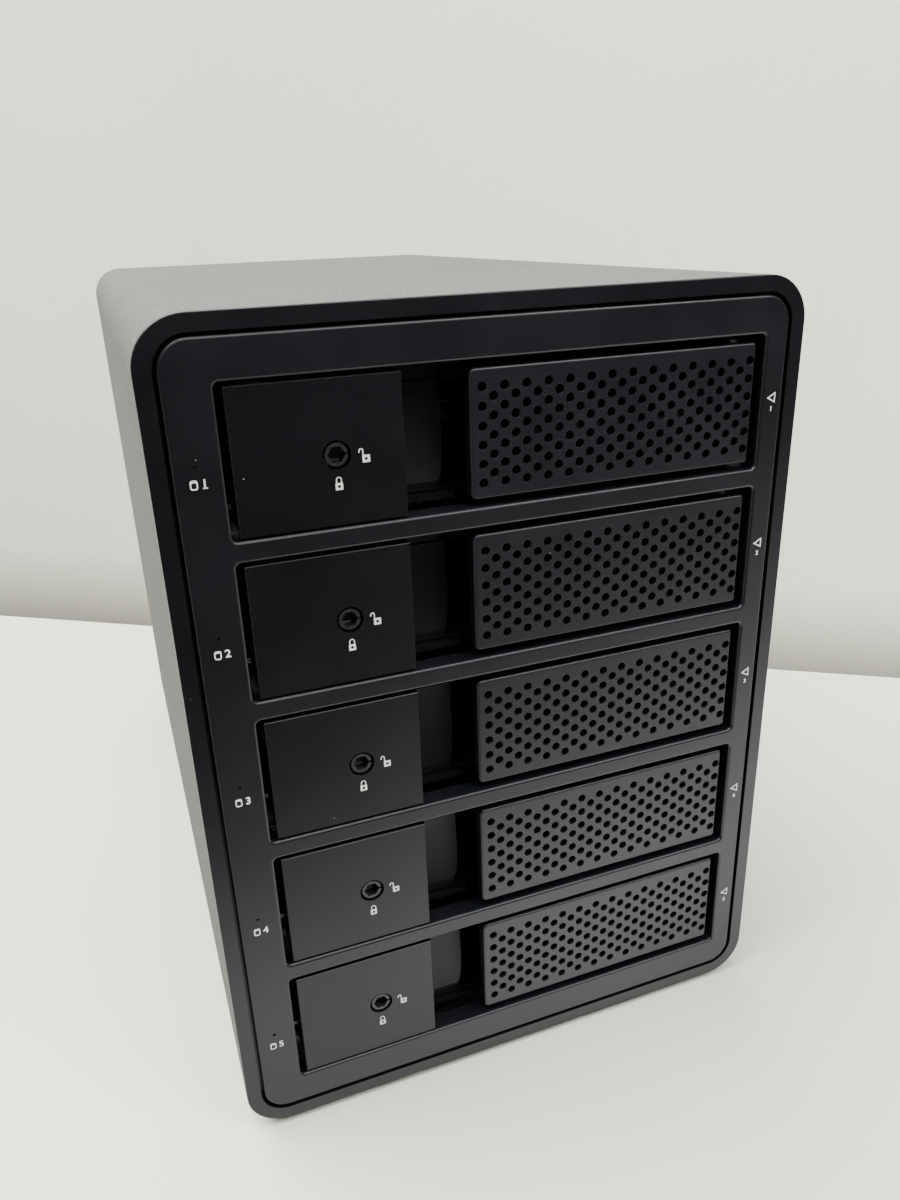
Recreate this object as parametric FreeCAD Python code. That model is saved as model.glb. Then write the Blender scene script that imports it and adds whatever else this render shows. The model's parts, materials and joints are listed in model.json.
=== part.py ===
import FreeCAD, Part
import math
import os

# A desktop storage enclosure with five removable drive trays stacked one above another.
# Millimetres. X runs across the front, +X to the right as seen from the front. Y runs
# from the front to the back. Z is up. The origin is on the table, below the middle of the box.

# --- driving dimensions -------------------------------------------------------------------
WIDTH = 145.0
DEPTH = 248.0
CASE_HEIGHT = 195.6
FOOT_HEIGHT = 1.5
CORNER_R = 10.3
SLEEVE_T = 2.0

BAY_COUNT = 5
BAY_PITCH = 35.0
BAY_TOP = 12.5            # from the top of the case down to the first opening
BAY_HEIGHT = 30.6
BAY_LEFT = -58.8
BAY_RIGHT = 62.6
BAY_CORNER_R = 1.2

DRIVE_WIDTH = 101.6       # a 3.5 inch drive
DRIVE_HEIGHT = 26.1
DRIVE_LENGTH = 147.0
DRIVE_SCREW_X = 95.25
DRIVE_SCREW_Y = 44.45
DRIVE_SCREW_FROM_REAR = 41.28

HOLE_R = 1.02             # perforations in the tray handles
HOLE_PITCH_X = 5.0
HOLE_PITCH_Z = 4.0
HOLE_COLUMNS = 14
HOLE_ROWS = 6

# --- planes worked out from them ----------------------------------------------------------
FRONT = -DEPTH / 2
REAR = DEPTH / 2
TOP = FOOT_HEIGHT + CASE_HEIGHT
HALF_W = WIDTH / 2
BAY_MID_X = (BAY_LEFT + BAY_RIGHT) / 2
DRIVE_REAR_Y = 39.0
DRIVE_FRONT_Y = DRIVE_REAR_Y - DRIVE_LENGTH

RIM_EDGE_T = 0.8          # thickness of the rim where its edge shows
RIM_SKIRT = 5.0           # how far the rim reaches back inside the sleeve
RIM_W = 3.5               # width of the flat black band
GROOVE_W = 0.7            # gap between the band and the fascia
FASCIA_T = 3.0
FASCIA_FLANGE_T = 2.0
FIT_GAP = 0.1             # small gap round pieces that only rest against each other

PANEL_OUT_Y = REAR - 4.0  # outer face of the rear panel, recessed in the sleeve
PANEL_T = 2.0
PANEL_IN_Y = PANEL_OUT_Y - PANEL_T
SHEET_T = 1.2             # chassis sheet metal
BOARD_T = 1.6             # printed circuit boards

CHASSIS_FRONT = FRONT + FASCIA_T + FASCIA_FLANGE_T + 0.5
SIDE_GAP = 0.4            # tray opening edge to the chassis side plate
CHASSIS_LEFT = BAY_LEFT - SIDE_GAP
CHASSIS_RIGHT = BAY_RIGHT + SIDE_GAP
CHASSIS_TOP = 3.5         # heights below the top of the case are written as depths
CHASSIS_BOTTOM = CASE_HEIGHT - 3.5


def level(depth):
    """Height above the table of a level given as a depth below the top of the case."""
    return TOP - depth


def box(x0, x1, y0, y1, depth0, depth1):
    """A block between two x, two y, and two depths below the top of the case."""
    z0 = level(max(depth0, depth1))
    height = abs(depth1 - depth0)
    corner = FreeCAD.Vector(min(x0, x1), min(y0, y1), z0)
    return Part.makeBox(abs(x1 - x0), abs(y1 - y0), height, corner)


def rod_y(radius, x, depth, y0, y1):
    """A round bar along Y."""
    start = FreeCAD.Vector(x, min(y0, y1), level(depth))
    return Part.makeCylinder(radius, abs(y1 - y0), start, FreeCAD.Vector(0, 1, 0))


def rod_z(radius, x, y, depth0, depth1):
    """A round bar along Z between two depths."""
    start = FreeCAD.Vector(x, y, level(max(depth0, depth1)))
    return Part.makeCylinder(radius, abs(depth1 - depth0), start, FreeCAD.Vector(0, 0, 1))


def rounded_outline(x0, x1, depth0, depth1, y, radii):
    """A closed outline in an XZ plane. radii is for top left, top right, bottom right, bottom left."""
    z1 = level(min(depth0, depth1))
    z0 = level(max(depth0, depth1))
    corners = [(x0, z1, 1, -1), (x1, z1, -1, -1), (x1, z0, -1, 1), (x0, z0, 1, 1)]
    diagonal = 1 - math.sqrt(0.5)
    points = []
    for index, (x, z, inward_x, inward_z) in enumerate(corners):
        r = radii[index]
        along_x = FreeCAD.Vector(x + inward_x * r, y, z)
        middle = FreeCAD.Vector(x + inward_x * r * diagonal, y, z + inward_z * r * diagonal)
        along_z = FreeCAD.Vector(x, y, z + inward_z * r)
        if index % 2 == 0:
            points.append((along_z, middle, along_x))
        else:
            points.append((along_x, middle, along_z))
    edges = []
    for index in range(4):
        start, middle, end = points[index]
        following = points[(index + 1) % 4][0]
        if radii[index] > 0:
            edges.append(Part.Arc(start, middle, end).toShape())
        edges.append(Part.LineSegment(end, following).toShape())
    return Part.Wire(edges)


def rounded_block(x0, x1, depth0, depth1, y0, y1, r):
    """A block along Y with round corners; r is one radius or four."""
    radii = r if isinstance(r, (list, tuple)) else (r, r, r, r)
    outline = rounded_outline(x0, x1, depth0, depth1, y0, radii)
    return Part.Face(outline).extrude(FreeCAD.Vector(0, y1 - y0, 0))


def joined(shapes):
    """One solid from touching shapes."""
    result = shapes[0]
    for shape in shapes[1:]:
        result = result.fuse(shape)
    return result.removeSplitter()


def edges_in_plane_y(shape, y):
    """The edges that lie wholly in the plane at this y."""
    found = []
    for edge in shape.Edges:
        limits = edge.BoundBox
        if abs(limits.YMin - y) < 1e-4 and abs(limits.YMax - y) < 1e-4:
            found.append(edge)
    return found


def save(name, shapes):
    """Write one node, from a solid or a list of separate solids."""
    pieces = shapes if isinstance(shapes, list) else [shapes]
    solids = []
    for piece in pieces:
        solids.extend(piece.Solids)
    for solid in solids:
        if not solid.isValid():
            raise ValueError(name + " is not a valid solid")
    shape = solids[0] if len(solids) == 1 else Part.makeCompound(solids)
    shape.exportStep("parts/" + name + ".step")


# --- outer shell --------------------------------------------------------------------------
def outer_sleeve():
    """The silver wrap: a square tube with round corners."""
    outside = rounded_block(-HALF_W, HALF_W, 0, CASE_HEIGHT, FRONT + RIM_EDGE_T, REAR, CORNER_R)
    inner = HALF_W - SLEEVE_T
    hollow = rounded_block(-inner, inner, SLEEVE_T, CASE_HEIGHT - SLEEVE_T,
                           FRONT, REAR + 1, CORNER_R - SLEEVE_T)
    sleeve = outside.cut(hollow)
    sleeve = sleeve.makeChamfer(0.4, edges_in_plane_y(sleeve, REAR))
    front_edges = []
    for edge in edges_in_plane_y(sleeve, FRONT + RIM_EDGE_T):
        limits = edge.BoundBox
        side = max(abs(limits.XMin), abs(limits.XMax)) > HALF_W - 0.1
        if side or limits.ZMax > TOP - 0.1 or limits.ZMin < FOOT_HEIGHT + 0.1:
            front_edges.append(edge)
    return sleeve.makeChamfer(0.25, front_edges)


def front_rim():
    """The flat black band at the front, with a skirt that fits inside the sleeve."""
    inner = HALF_W - RIM_W
    skirt = HALF_W - SLEEVE_T - FIT_GAP
    skirt_depth = SLEEVE_T + FIT_GAP
    plate = rounded_block(-HALF_W, HALF_W, 0, CASE_HEIGHT, FRONT, FRONT + RIM_EDGE_T, CORNER_R)
    inside = rounded_block(-skirt, skirt, skirt_depth, CASE_HEIGHT - skirt_depth,
                           FRONT + RIM_EDGE_T, FRONT + RIM_SKIRT, CORNER_R - skirt_depth)
    window = rounded_block(-inner, inner, RIM_W, CASE_HEIGHT - RIM_W,
                           FRONT - 1, FRONT + 12, CORNER_R - RIM_W)
    rim = joined([plate, inside]).cut(window)
    outer_edges = []
    for edge in edges_in_plane_y(rim, FRONT):
        limits = edge.BoundBox
        reach = max(abs(limits.XMin), abs(limits.XMax))
        high = limits.ZMax > TOP - 0.1
        low = limits.ZMin < FOOT_HEIGHT + 0.1
        if reach > HALF_W - 0.1 or high or low:
            outer_edges.append(edge)
    return rim.makeFillet(0.25, outer_edges)


def bay_top(index):
    """Depth of the top of one tray opening."""
    return BAY_TOP + index * BAY_PITCH


LED_X = -64.0
LED_DROP = 14.9           # below the top of each opening
LED_HOLE_R = 0.4


def front_fascia():
    """The black panel with five tray openings and five indicator holes."""
    half = HALF_W - RIM_W - GROOVE_W
    edge = RIM_W + GROOVE_W
    wide = HALF_W - RIM_W - FIT_GAP
    panel = rounded_block(-half, half, edge, CASE_HEIGHT - edge,
                          FRONT, FRONT + FASCIA_T, CORNER_R - edge)
    flange = rounded_block(-wide, wide, RIM_W + FIT_GAP, CASE_HEIGHT - RIM_W - FIT_GAP,
                           FRONT + FASCIA_T, FRONT + FASCIA_T + FASCIA_FLANGE_T,
                           CORNER_R - RIM_W - FIT_GAP)
    fascia = joined([panel, flange])
    for index in range(BAY_COUNT):
        top = bay_top(index)
        opening = rounded_block(BAY_LEFT, BAY_RIGHT, top, top + BAY_HEIGHT,
                                FRONT - 1, FRONT + 10, BAY_CORNER_R)
        fascia = fascia.cut(opening)
    fascia = fascia.makeFillet(0.7, edges_in_plane_y(fascia, FRONT))
    for index in range(BAY_COUNT):
        fascia = fascia.cut(rod_y(LED_HOLE_R, LED_X, bay_top(index) + LED_DROP, FRONT - 1, FRONT + 10))
    return fascia


def light_pipe_strip():
    """One clear moulding: five pins that carry light to the front, joined by a bar."""
    back = FRONT + FASCIA_T + FASCIA_FLANGE_T
    first = bay_top(0) + LED_DROP
    last = bay_top(BAY_COUNT - 1) + LED_DROP
    pieces = [box(LED_X - 1.5, LED_X + 1.5, back + 0.2, back + 2.2, first - 3, last + 3)]
    for index in range(BAY_COUNT):
        depth = bay_top(index) + LED_DROP
        pieces.append(rod_y(LED_HOLE_R - 0.05, LED_X, depth, FRONT + 0.3, back + 1))
    return joined(pieces)


def led_board():
    """The narrow indicator board behind the light pipes, with its lamps."""
    front = FRONT + FASCIA_T + FASCIA_FLANGE_T + 3.2
    pieces = [box(LED_X - 3.5, LED_X + 3.0, front, front + BOARD_T, 20, 178)]
    for index in range(BAY_COUNT):
        depth = bay_top(index) + LED_DROP
        pieces.append(box(LED_X - 0.8, LED_X + 0.8, front - 0.7, front, depth - 0.6, depth + 0.6))
    return joined(pieces)


# --- chassis ------------------------------------------------------------------------------
TRAY_BOTTOM = 29.6        # underside of a tray, below the top of its opening
TRAY_FLOOR_T = 1.6
RAIL_REACH = 4.4
RAIL_T = 1.2
RAIL_PLAY = 0.3
FLANGE_END_X = 69.8
CHASSIS_SCREW_DEPTHS = (24.0, 100.0, 172.0)
CHASSIS_SCREW_X = 66.8
SCREW_R = 1.4


def chassis_side(side):
    """A chassis side plate with a channel for each tray and a rear flange. side is -1 or 1."""
    inner = CHASSIS_LEFT if side < 0 else CHASSIS_RIGHT
    outer = inner + side * SHEET_T
    tip = inner - side * RAIL_REACH
    pieces = [box(inner, outer, CHASSIS_FRONT, PANEL_IN_Y, CHASSIS_TOP, CHASSIS_BOTTOM)]
    for index in range(BAY_COUNT):
        floor_top = bay_top(index) + TRAY_BOTTOM - TRAY_FLOOR_T
        floor_bottom = bay_top(index) + TRAY_BOTTOM
        below = floor_bottom + RAIL_PLAY
        above = floor_top - RAIL_PLAY
        pieces.append(box(tip, inner, CHASSIS_FRONT, DRIVE_REAR_Y - 3, below, below + RAIL_T))
        pieces.append(box(tip, inner, TRAY_WALL_BACK + 1, DRIVE_REAR_Y - 3, above - RAIL_T, above))
    flange = box(outer, side * FLANGE_END_X, PANEL_IN_Y - SHEET_T, PANEL_IN_Y, CHASSIS_TOP + 8, CHASSIS_BOTTOM - 8)
    pieces.append(flange)
    plate = joined(pieces)
    for depth in CHASSIS_SCREW_DEPTHS:
        hole = rod_y(SCREW_R + 0.05, side * CHASSIS_SCREW_X, depth, PANEL_IN_Y - 3, PANEL_IN_Y + 1)
        plate = plate.cut(hole)
    for row in range(4):
        depth = bay_top(row) + BAY_HEIGHT + 6
        for column in range(6):
            y = -96 + column * 24
            slot = box(inner - 1, inner + side * 3, y, y + 14, depth, depth + 3)
            if side < 0:
                slot = box(inner + 1, inner - 3, y, y + 14, depth, depth + 3)
            plate = plate.cut(slot)
    return plate


def chassis_cover(depth0, depth1):
    """The top or bottom sheet of the chassis, with rows of air slots."""
    plate = box(CHASSIS_LEFT - SHEET_T, CHASSIS_RIGHT + SHEET_T, CHASSIS_FRONT, PANEL_IN_Y, depth0, depth1)
    for row in range(7):
        y = -96 + row * 20
        for column in range(5):
            x = BAY_MID_X - 46 + column * 20
            plate = plate.cut(box(x, x + 12, y, y + 3, depth0 - 1, depth1 + 1))
    return plate


# --- drive tray ---------------------------------------------------------------------------
# Every depth below is measured from the top of the tray's own opening.
TRAY_LEFT = BAY_LEFT + 2.0
TRAY_RIGHT = BAY_RIGHT - 2.0
TRAY_TOP = 1.2
TRAY_WALL_FRONT = -113.4
TRAY_WALL_BACK = TRAY_WALL_FRONT + 2.0
TRAY_REAR = 20.0
TRAY_SIDE_T = 2.0
TRAY_SIDE_TOP = 7.0
TRAY_WALL_T = 1.6

FACE_LEFT = -57.2
FACE_RIGHT = -22.9
FACE_TOP = 1.0
FACE_BOTTOM = 30.2
FACE_FRONT = FRONT + 0.4
FACE_T = 2.0
FACE_BACK = FACE_FRONT + FACE_T

RECESS_WALL_Y = FRONT + 9.0
RECESS_RIGHT = -10.3
RECESS_LIP_Y = FRONT + 7.0
RECESS_TURN_X = -13.6     # the recess wall is flat up to here, then turns back
RECESS_TURN_R = 2.2
LEDGE_HEIGHT = 0.5
LEDGE_RIGHT = -9.0
UPPER_LEDGE_DROP = 4.6
LOWER_LEDGE_DROP = 27.2
SCOOP_DROP = 8.0          # the finger hollow is deepest here and comes forward below
SCOOP_Y = FRONT + 11.1
SCOOP_R = 78.0
RECESS_SLOT_LEFT = -11.4
RECESS_SLOT_RIGHT = -5.4

HANDLE_LEFT = -8.6
HANDLE_RIGHT = 60.6
HANDLE_TOP = 1.8
HANDLE_BOTTOM = 29.0
HANDLE_FRONT = FRONT + 0.8
HANDLE_T = 1.5
HANDLE_FLANGE_T = 1.0
HANDLE_DEPTH = 8.0
HANDLE_END_DEPTH = 3.0
HANDLE_END_T = 1.2
HANDLE_EDGE_R = 0.55
HANDLE_CORNERS = (1.2, 0.7, 0.7, 1.2)
HOLE_FIRST_X = -5.9
HOLE_FIRST_DROP = 5.57
RIB_LEFT = 5.0
RIB_RIGHT = 44.0
RIB_HEIGHT = 1.7
RIB_DEPTH = 2.2

PIVOT_X = 57.0
PIVOT_Y = HANDLE_FRONT + 4.0
PIN_R = 1.2
PIN_BORE_R = 1.25
BARREL_R = 2.2
PIN_TOP = 1.0
PIN_BOTTOM = 29.8

LOCK_X = -36.9
LOCK_DROP = 15.9
LOCK_HOLE_R = 2.9
LOCK_R = 2.35
LOCK_BORE_R = 2.4
LOCK_FRONT = FACE_FRONT + 0.35
LOCK_BACK = TRAY_WALL_FRONT - 0.4
SOCKET_FLAT = 1.6         # half the width across the flats
BOSS_R = 4.0
CAM_FRONT = FACE_BACK + 1.0
CAM_T = 1.2
CAM_REACH = 9.5


def recess_wall(forward, drop0, drop1):
    """The wall behind the finger recess, flat on the left and turned back on the right."""
    front = RECESS_WALL_Y - forward
    radius = RECESS_TURN_R + forward
    flat = box(FACE_RIGHT, RECESS_TURN_X, front, TRAY_WALL_FRONT, drop0, drop1)
    turned = rod_z(radius, RECESS_TURN_X, front + radius, drop0, drop1)
    turned = turned.common(box(RECESS_TURN_X, RECESS_RIGHT, front, TRAY_WALL_FRONT, drop0, drop1))
    return flat.fuse(turned)


def recess_hollow():
    """The space cut for a finger tip, and the air slot at its right."""
    under_ledge = UPPER_LEDGE_DROP + LEDGE_HEIGHT
    start = FreeCAD.Vector(FACE_RIGHT, SCOOP_Y - SCOOP_R, level(SCOOP_DROP))
    roller = Part.makeCylinder(SCOOP_R, RECESS_SLOT_LEFT - FACE_RIGHT, start, FreeCAD.Vector(1, 0, 0))
    scoop = roller.common(box(FACE_RIGHT, RECESS_SLOT_LEFT, RECESS_LIP_Y, TRAY_WALL_BACK,
                              under_ledge, LOWER_LEDGE_DROP))
    slot = box(RECESS_SLOT_LEFT, RECESS_SLOT_RIGHT, RECESS_LIP_Y, TRAY_WALL_BACK + 1,
               under_ledge, LOWER_LEDGE_DROP - 0.7)
    return [scoop, slot]


def tray_carrier():
    """The tray body: floor, side walls, front wall, hollow left end and hinge barrel."""
    floor = TRAY_BOTTOM - TRAY_FLOOR_T
    drive_left = BAY_MID_X - DRIVE_WIDTH / 2 - 0.3
    drive_right = BAY_MID_X + DRIVE_WIDTH / 2 + 0.3
    pieces = [
        box(TRAY_LEFT, TRAY_RIGHT, TRAY_WALL_FRONT, TRAY_REAR, floor, TRAY_BOTTOM),
        box(drive_left - TRAY_SIDE_T, drive_left, TRAY_WALL_FRONT, TRAY_REAR, TRAY_SIDE_TOP, floor),
        box(drive_right, drive_right + TRAY_SIDE_T, TRAY_WALL_FRONT, TRAY_REAR, TRAY_SIDE_TOP, floor),
        box(TRAY_LEFT, TRAY_RIGHT, TRAY_WALL_FRONT, TRAY_WALL_BACK, TRAY_TOP, floor),
    ]
    shell = box(TRAY_LEFT, FACE_RIGHT, FACE_BACK, TRAY_WALL_FRONT, TRAY_TOP, TRAY_BOTTOM)
    pocket = box(TRAY_LEFT + TRAY_WALL_T, FACE_RIGHT - TRAY_WALL_T, FACE_BACK - 1, TRAY_WALL_FRONT,
                 TRAY_TOP + TRAY_WALL_T, TRAY_BOTTOM - TRAY_WALL_T)
    pieces.append(shell.cut(pocket))
    pieces.append(rod_y(BOSS_R, LOCK_X, LOCK_DROP, CAM_FRONT + CAM_T + 0.3, TRAY_WALL_FRONT))
    pieces.append(box(FACE_RIGHT, RECESS_RIGHT, RECESS_LIP_Y, TRAY_WALL_FRONT, floor, TRAY_BOTTOM))
    pieces.append(recess_wall(0, TRAY_TOP, floor))
    pieces.append(recess_wall(LEDGE_HEIGHT, UPPER_LEDGE_DROP, UPPER_LEDGE_DROP + LEDGE_HEIGHT))
    pieces.append(box(FACE_RIGHT, LEDGE_RIGHT, RECESS_WALL_Y - LEDGE_HEIGHT, TRAY_WALL_FRONT,
                      LOWER_LEDGE_DROP, LOWER_LEDGE_DROP + LEDGE_HEIGHT))
    barrel_top = HANDLE_TOP + HANDLE_FLANGE_T + 0.4
    barrel_bottom = HANDLE_BOTTOM - HANDLE_FLANGE_T - 0.4
    pieces.append(rod_z(BARREL_R, PIVOT_X, PIVOT_Y, barrel_top, barrel_bottom))
    pieces.append(box(PIVOT_X - 1.4, PIVOT_X + 1.4, PIVOT_Y, TRAY_WALL_FRONT, barrel_top, barrel_bottom))
    carrier = joined(pieces)
    cuts = [
        rod_y(LOCK_BORE_R, LOCK_X, LOCK_DROP, FACE_BACK, TRAY_WALL_BACK - 1.2),
        rod_z(PIN_R + 0.02, PIVOT_X, PIVOT_Y, 0, BAY_HEIGHT),
    ]
    rear_row = DRIVE_REAR_Y - DRIVE_SCREW_FROM_REAR
    for x in (BAY_MID_X - DRIVE_SCREW_X / 2, BAY_MID_X + DRIVE_SCREW_X / 2):
        for y in (rear_row, rear_row - DRIVE_SCREW_Y):
            cuts.append(rod_z(1.8, x, y, floor - 1, TRAY_BOTTOM + 1))
    for row in range(4):
        y = -94 + row * 26
        for column in range(9):
            x = BAY_MID_X - 34 + column * 8
            cuts.append(box(x, x + 3, y, y + 18, floor - 1, TRAY_BOTTOM + 1))
    for column in range(9):
        x = -4 + column * 6.2
        cuts.append(box(x, x + 3.2, TRAY_WALL_FRONT - 1, TRAY_WALL_BACK + 1, 6, 24))
    cuts.extend(recess_hollow())
    return carrier.cut(Part.makeCompound(cuts))


def tray_face():
    """The plain plate at the left of a tray, with the hole for the lock."""
    plate = box(FACE_LEFT, FACE_RIGHT, FACE_FRONT, FACE_BACK, FACE_TOP, FACE_BOTTOM)
    plate = plate.makeChamfer(0.15, edges_in_plane_y(plate, FACE_FRONT))
    return plate.cut(rod_y(LOCK_HOLE_R, LOCK_X, LOCK_DROP, FACE_FRONT - 1, FACE_BACK + 1))


def handle_hole_places():
    """Centres of the perforations: a square grid with a second grid between it."""
    places = []
    for row in range(HOLE_ROWS):
        for column in range(HOLE_COLUMNS):
            places.append((HOLE_FIRST_X + column * HOLE_PITCH_X, HOLE_FIRST_DROP + row * HOLE_PITCH_Z))
    for row in range(HOLE_ROWS - 1):
        for column in range(HOLE_COLUMNS - 1):
            x = HOLE_FIRST_X + (column + 0.5) * HOLE_PITCH_X
            places.append((x, HOLE_FIRST_DROP + (row + 0.5) * HOLE_PITCH_Z))
    return places


def tray_handle():
    """The perforated lever: a shallow channel that swings on a pin near its right end."""
    back = HANDLE_FRONT + HANDLE_DEPTH
    block = rounded_block(HANDLE_LEFT, HANDLE_RIGHT, HANDLE_TOP, HANDLE_BOTTOM,
                          HANDLE_FRONT, back, HANDLE_CORNERS)
    block = block.makeFillet(HANDLE_EDGE_R, edges_in_plane_y(block, HANDLE_FRONT))
    plate_back = HANDLE_FRONT + HANDLE_T
    pocket_top = HANDLE_TOP + HANDLE_FLANGE_T
    pocket_bottom = HANDLE_BOTTOM - HANDLE_FLANGE_T
    cuts = [
        box(HANDLE_LEFT + HANDLE_END_T, HANDLE_RIGHT + 1, plate_back, back + 1, pocket_top, pocket_bottom),
        box(HANDLE_LEFT - 1, HANDLE_LEFT + HANDLE_END_T + 1, HANDLE_FRONT + HANDLE_END_DEPTH, back + 1,
            HANDLE_TOP - 1, HANDLE_BOTTOM + 1),
        rod_z(PIN_BORE_R, PIVOT_X, PIVOT_Y, 0, BAY_HEIGHT),
    ]
    handle = block.cut(Part.makeCompound(cuts))
    holes = []
    for x, drop in handle_hole_places():
        holes.append(rod_y(HOLE_R, x, drop, HANDLE_FRONT - 1, plate_back + 0.5))
    handle = handle.cut(Part.makeCompound(holes))
    middle = HOLE_FIRST_DROP + (HOLE_ROWS - 1) / 2 * HOLE_PITCH_Z
    rib = box(RIB_LEFT, RIB_RIGHT, plate_back, plate_back + RIB_DEPTH,
              middle - RIB_HEIGHT / 2, middle + RIB_HEIGHT / 2)
    return handle.fuse(rib)


def tray_hinge_pin():
    """The steel pin that the handle turns on."""
    pin = rod_z(PIN_R, PIVOT_X, PIVOT_Y, PIN_TOP, PIN_BOTTOM)
    ends = [edge for edge in pin.Edges if edge.BoundBox.ZLength < 1e-6]
    return pin.makeChamfer(0.2, ends)


def tray_lock():
    """The lock barrel, with a six-sided key socket and a pointer notch."""
    barrel = rod_y(LOCK_R, LOCK_X, LOCK_DROP, LOCK_FRONT, LOCK_BACK)
    corner = SOCKET_FLAT / math.cos(math.pi / 6)
    points = []
    for index in range(7):
        angle = math.radians(60 * index)
        points.append(FreeCAD.Vector(LOCK_X + corner * math.cos(angle), LOCK_FRONT - 1,
                                     level(LOCK_DROP) + corner * math.sin(angle)))
    socket = Part.Face(Part.makePolygon(points)).extrude(FreeCAD.Vector(0, 4.0, 0))
    notch = box(LOCK_X + 1.0, LOCK_X + LOCK_R + 1, LOCK_FRONT - 1, LOCK_FRONT + 0.6,
                LOCK_DROP - 0.25, LOCK_DROP + 0.25)
    neck_front = CAM_FRONT - 0.01
    neck = rod_y(LOCK_R + 1, LOCK_X, LOCK_DROP, neck_front, CAM_FRONT + CAM_T + 0.01)
    neck = neck.cut(box(LOCK_X - 1.5, LOCK_X + 1.5, neck_front - 1, CAM_FRONT + CAM_T + 1,
                        LOCK_DROP - 1.5, LOCK_DROP + 1.5))
    return barrel.cut(Part.makeCompound([socket, notch])).cut(neck)


def tray_lock_cam():
    """The flat blade that the barrel turns behind the face plate."""
    disc = rod_y(3.4, LOCK_X, LOCK_DROP, CAM_FRONT, CAM_FRONT + CAM_T)
    blade = box(LOCK_X, LOCK_X + CAM_REACH, CAM_FRONT, CAM_FRONT + CAM_T, LOCK_DROP - 1.6, LOCK_DROP + 1.6)
    seat = box(LOCK_X - 1.5, LOCK_X + 1.5, CAM_FRONT - 1, CAM_FRONT + CAM_T + 1,
               LOCK_DROP - 1.5, LOCK_DROP + 1.5)
    return joined([disc, blade]).cut(seat)


# --- electronics behind the trays ---------------------------------------------------------
BACKPLANE_Y = 43.0
SOCKET_LEFT = -39.0
SOCKET_RIGHT = 3.0
MAIN_BOARD_DEPTH = 181.4
MAIN_BOARD_FRONT = 46.0
PORT_FRONT_Y = PANEL_OUT_Y + 0.6


def backplane_board():
    """The upright board that the drives plug into, with air windows between the bays."""
    board = box(-56, 60, BACKPLANE_Y, BACKPLANE_Y + BOARD_T, 10, 186)
    windows = []
    for index in range(BAY_COUNT):
        depth = bay_top(index) + 3
        for column in range(7):
            x = -49 + column * 15
            windows.append(box(x, x + 10, BACKPLANE_Y - 1, BACKPLANE_Y + 3, depth, depth + 13))
    return board.cut(Part.makeCompound(windows))


def drive_connectors():
    """Five drive sockets on the front of the backplane."""
    sockets = []
    for index in range(BAY_COUNT):
        depth = bay_top(index) + 21.4
        body = box(SOCKET_LEFT, SOCKET_RIGHT, BACKPLANE_Y - 6.6, BACKPLANE_Y, depth, depth + 6.2)
        slot = box(SOCKET_LEFT + 2, SOCKET_RIGHT - 2, BACKPLANE_Y - 7, BACKPLANE_Y - 1.5,
                   depth + 2.2, depth + 4.0)
        sockets.append(body.cut(slot))
    return sockets


def main_board():
    """The level board that carries the rear ports."""
    return box(-55, 57, MAIN_BOARD_FRONT, PANEL_IN_Y - 1, MAIN_BOARD_DEPTH, MAIN_BOARD_DEPTH + BOARD_T)


def board_link():
    """The connector that joins the main board to the backplane."""
    return box(-20, 24, BACKPLANE_Y + BOARD_T, BACKPLANE_Y + BOARD_T + 10,
               MAIN_BOARD_DEPTH - 8, MAIN_BOARD_DEPTH)


def heat_sink():
    """The finned heat sink on the controller chip."""
    pieces = [box(-48, -16, 62, 92, MAIN_BOARD_DEPTH - 3, MAIN_BOARD_DEPTH)]
    for fin in range(8):
        x = -48 + fin * 4.4
        pieces.append(box(x, x + 1.2, 62, 92, MAIN_BOARD_DEPTH - 12, MAIN_BOARD_DEPTH - 3))
    return joined(pieces)


SUPPLY_LEFT = -52.0
SUPPLY_RIGHT = 58.0
SUPPLY_TOP = 118.0
SUPPLY_BOTTOM = 160.0
SUPPLY_REAR = 98.0


def power_supply():
    """The mains power supply in its sheet case, with slots for air."""
    case = box(SUPPLY_LEFT, SUPPLY_RIGHT, 50, SUPPLY_REAR, SUPPLY_TOP, SUPPLY_BOTTOM)
    inside = box(SUPPLY_LEFT + 1.5, SUPPLY_RIGHT - 1.5, 51.5, SUPPLY_REAR - 1.5,
                 SUPPLY_TOP + 1.5, SUPPLY_BOTTOM - 1.5)
    cuts = [inside]
    for column in range(9):
        x = SUPPLY_LEFT + 6 + column * 6
        cuts.append(box(x, x + 2.5, SUPPLY_REAR - 3, SUPPLY_REAR + 1, SUPPLY_TOP + 8, SUPPLY_BOTTOM - 8))
        cuts.append(box(x + 40, x + 42.5, 49, 53, SUPPLY_TOP + 8, SUPPLY_BOTTOM - 8))
    return case.cut(Part.makeCompound(cuts))


# --- rear panel and what it carries -------------------------------------------------------
FAN_X = 0.0
FAN_DEPTH = 62.0
FAN_SIZE = 92.0
FAN_T = 25.0
FAN_SCREW = 41.25         # half the spacing of the fan screws
FAN_BORE_R = 43.5
INLET_X = 36.0
INLET_DEPTH = 139.0
SWITCH_X = -6.0
SWITCH_DEPTH = 139.0
LAN_X = -40.0
USB_A_XS = (-17.0, 1.0)
USB_C_X = 17.5
LOCK_SLOT_X = 48.0
LOCK_SLOT_DEPTH = 174.0


def screw_places():
    """Centres of the six screws that hold the rear panel."""
    places = []
    for depth in CHASSIS_SCREW_DEPTHS:
        places.append((-CHASSIS_SCREW_X, depth))
        places.append((CHASSIS_SCREW_X, depth))
    return places


def fan_screw_places():
    """Centres of the four screws that hold the fan."""
    places = []
    for across in (-FAN_SCREW, FAN_SCREW):
        for down in (-FAN_SCREW, FAN_SCREW):
            places.append((FAN_X + across, FAN_DEPTH + down))
    return places


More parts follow.
